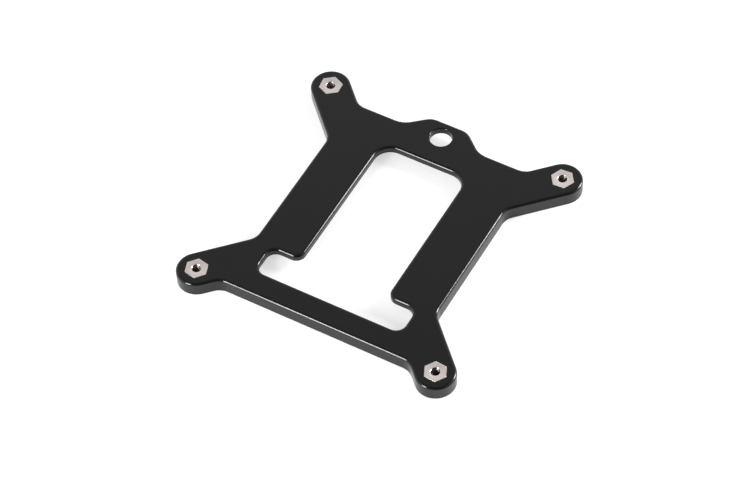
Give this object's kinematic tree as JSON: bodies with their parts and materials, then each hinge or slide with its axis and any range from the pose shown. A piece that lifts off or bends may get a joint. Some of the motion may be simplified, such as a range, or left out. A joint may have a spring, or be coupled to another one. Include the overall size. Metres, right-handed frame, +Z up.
{
  "type": "cooler mounting back plate",
  "caption": "Flat plastic back plate with diagonal arms, a T-shaped window, a holed rear tab and threaded hexagonal inserts that anchor a processor cooler's screws behind a main board.",
  "frame": {"origin": "centre of the square fixing pattern, on the plane of the underside rim", "axes": "+Z up through the smooth face, +X along the front edge, +Y towards the tab"},
  "size_m": [0.0866, 0.0866, 0.0047],
  "materials": {
    "moulded_plastic": "satin black moulding",
    "insert_metal": "turned and plated, faintly warm"
  },
  "bodies": {
    "root": {"back_plate": "moulded_plastic", "insert_front_left": "insert_metal", "insert_front_right": "insert_metal", "insert_rear_left": "insert_metal", "insert_rear_right": "insert_metal"}
  },
  "joints": []
}
